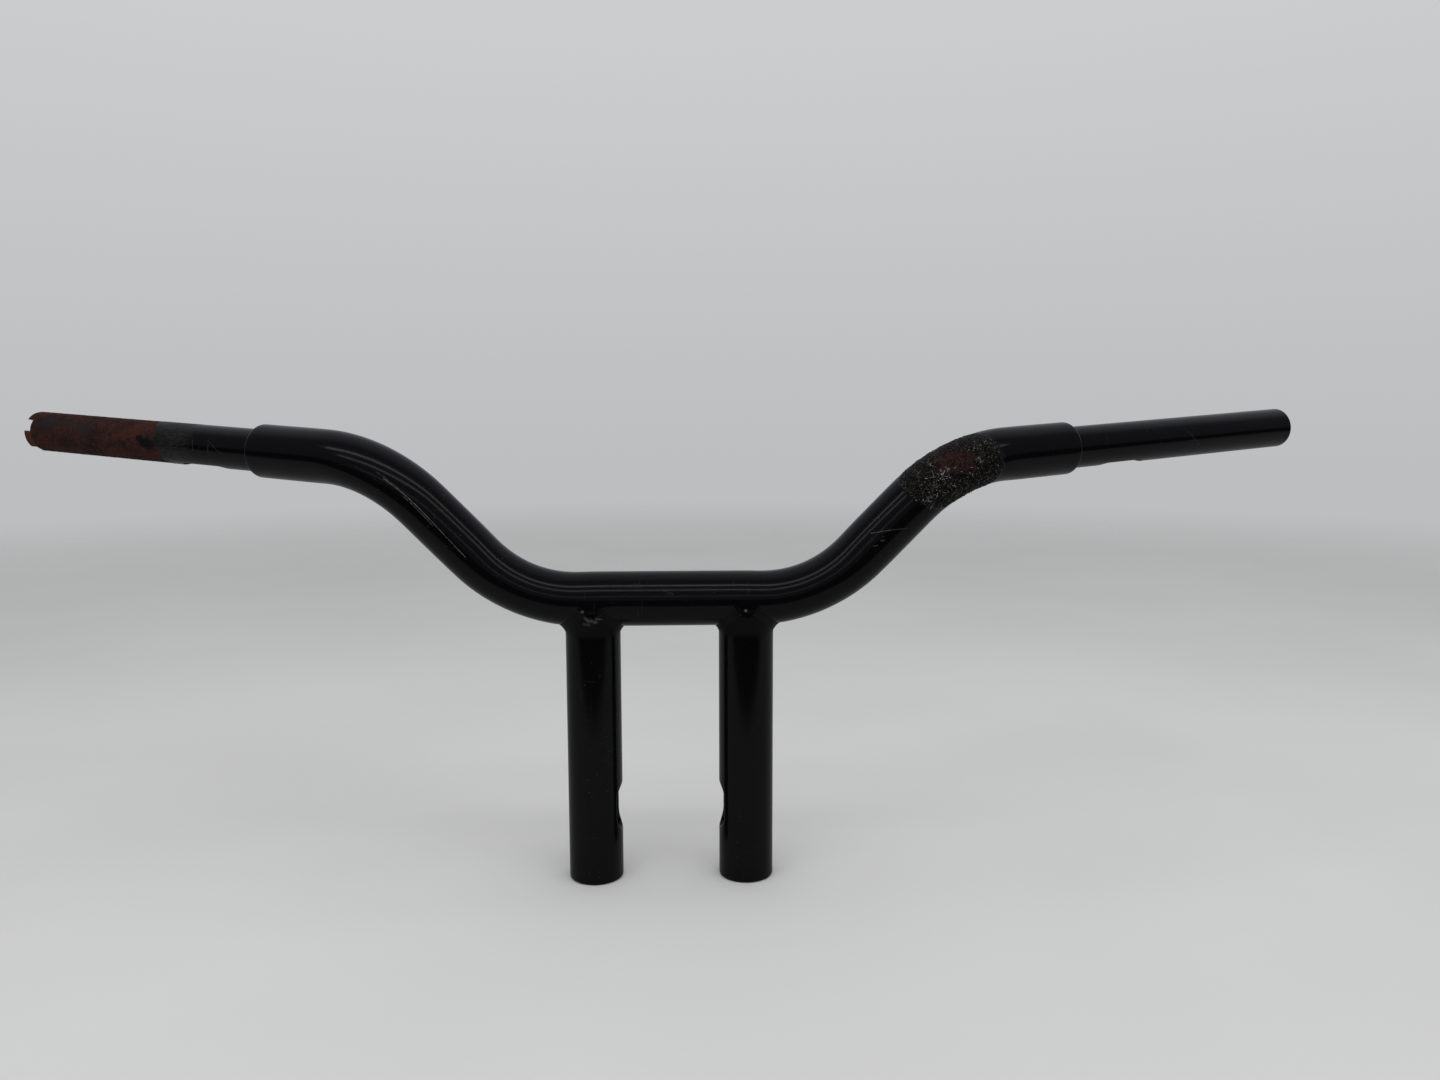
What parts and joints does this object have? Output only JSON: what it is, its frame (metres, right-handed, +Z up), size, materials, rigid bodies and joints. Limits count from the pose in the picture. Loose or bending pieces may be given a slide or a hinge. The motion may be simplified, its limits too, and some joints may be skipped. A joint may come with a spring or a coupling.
{
  "type": "t-bar handlebar",
  "caption": "Steel motorcycle T-bar: bent centre tube on two welded risers with threaded feet, swept-back grip tubes, notched throttle end, wiring slots and windows.",
  "frame": {"origin": "midway between the riser feet, on the plane of their undersides", "axes": "+X along the bar to the clutch end, +Y towards the rider, +Z up the risers"},
  "size_m": [0.8294, 0.132, 0.2757],
  "materials": {
    "bar_paint": "gloss black powder coat, light scratches, chipped at edges",
    "worn_paint": "gloss black worn through to dark brown rust towards the tip",
    "bung_steel": "machined steel, lightly dulled"
  },
  "bodies": {
    "root": {"centre_tube": "bar_paint", "grip_tube_throttle": "worn_paint", "grip_tube_clutch": "bar_paint", "shoulder_weld_throttle": "bar_paint", "shoulder_weld_clutch": "bar_paint", "riser_throttle": "bar_paint", "riser_clutch": "bar_paint", "saddle_weld_throttle": "bar_paint", "saddle_weld_clutch": "bar_paint", "riser_bung_throttle": "bung_steel", "riser_bung_clutch": "bung_steel", "foot_weld_throttle": "bung_steel", "foot_weld_clutch": "bung_steel"}
  },
  "joints": []
}
